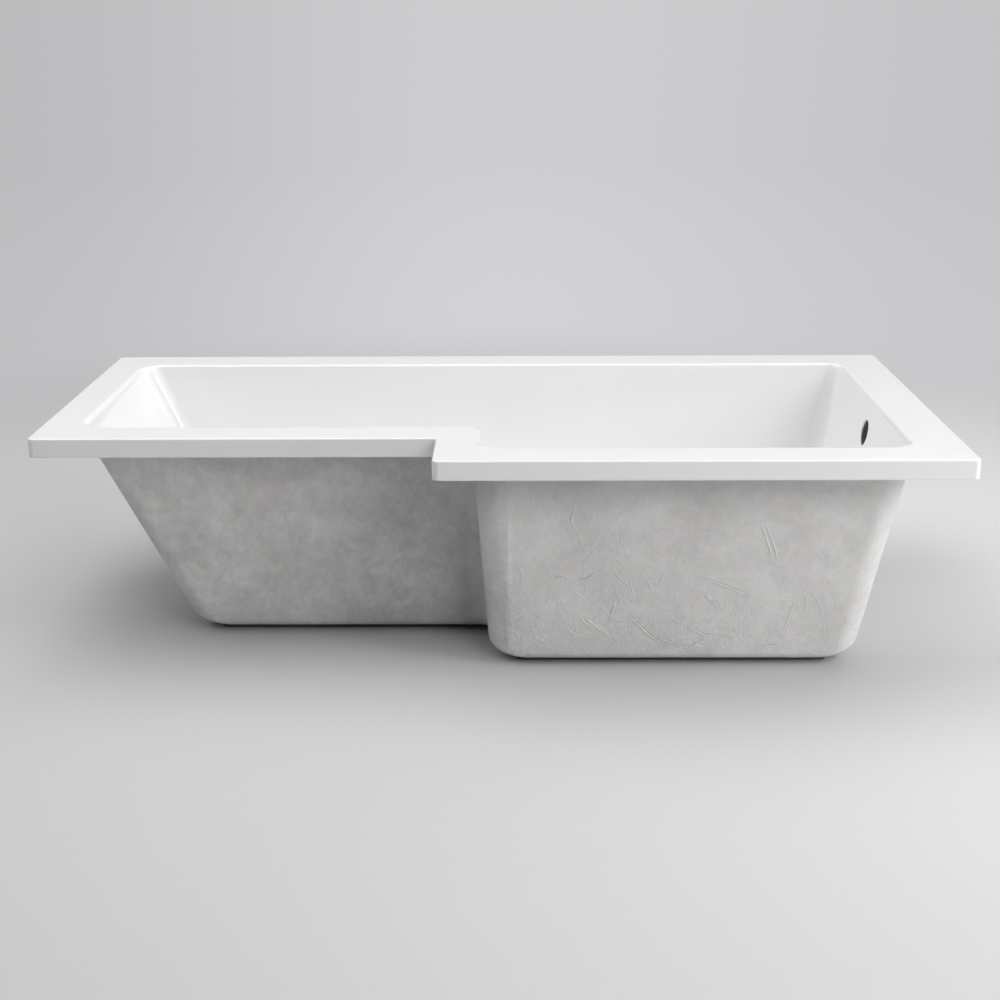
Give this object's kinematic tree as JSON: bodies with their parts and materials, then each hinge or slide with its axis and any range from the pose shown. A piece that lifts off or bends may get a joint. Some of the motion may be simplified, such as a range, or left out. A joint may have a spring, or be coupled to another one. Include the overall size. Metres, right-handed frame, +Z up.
{
  "type": "l-shaped shower bath",
  "caption": "Bare L-shaped shower bath: white formed acrylic shell with a squared lip, grey glass-fibre laminate, timber-backed rim and encapsulated base boards.",
  "frame": {"origin": "on the floor plane that the base pan rests on, below the middle of the rim's overall outline", "axes": "+X along the length towards the wide shower end with the overflow and the waste, -Y to the room side with the step, +Y to the wall side, +Z up"},
  "size_m": [1.7, 0.85, 0.4321],
  "materials": {
    "white_acrylic": "high-gloss white formed acrylic sheet",
    "tub_laminate": "grey resin-rich glass-fibre laminate, hand rolled, with soft trowel marks and clouding",
    "rim_laminate": "grey glass-fibre overlaminate with visible chopped strands",
    "base_laminate": "grey glass-fibre overlaminate with visible chopped strands",
    "softwood": "sawn softwood",
    "chipboard": "raw chipboard"
  },
  "bodies": {
    "root": {"acrylic_shell": "white_acrylic", "tub_laminate": "tub_laminate", "rim_overlaminate": "rim_laminate", "rear_batten": "softwood", "head_batten": "softwood", "front_batten": "softwood", "step_batten": "softwood", "shower_front_batten": "softwood", "foot_batten": "softwood", "base_overlaminate": "base_laminate", "bathing_baseboard": "chipboard", "shower_baseboard": "chipboard"}
  },
  "joints": []
}
